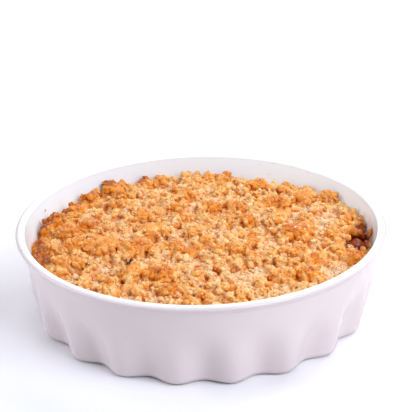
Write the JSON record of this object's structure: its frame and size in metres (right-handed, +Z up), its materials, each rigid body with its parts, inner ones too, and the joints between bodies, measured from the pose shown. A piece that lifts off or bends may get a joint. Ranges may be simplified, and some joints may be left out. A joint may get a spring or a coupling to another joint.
{
  "type": "fruit cobbler",
  "caption": "Baked fruit cobbler with a golden crumb topping over fruit filling, in a round white flan dish whose wall swells into flutes towards its base.",
  "frame": {"origin": "on the surface that the dish stands on, under the middle of the dish", "axes": "+Z up, out of the dish's mouth; -Y towards the front of the picture, +X to its right"},
  "size_m": [0.24, 0.24, 0.06],
  "materials": {
    "porcelain": "glossy white glaze",
    "fruit": "wet cooked fruit",
    "crumbs": "baked golden crumbs"
  },
  "bodies": {
    "root": {"dish": "porcelain", "fruit_filling": "fruit", "crumb_topping": "crumbs"}
  },
  "joints": []
}
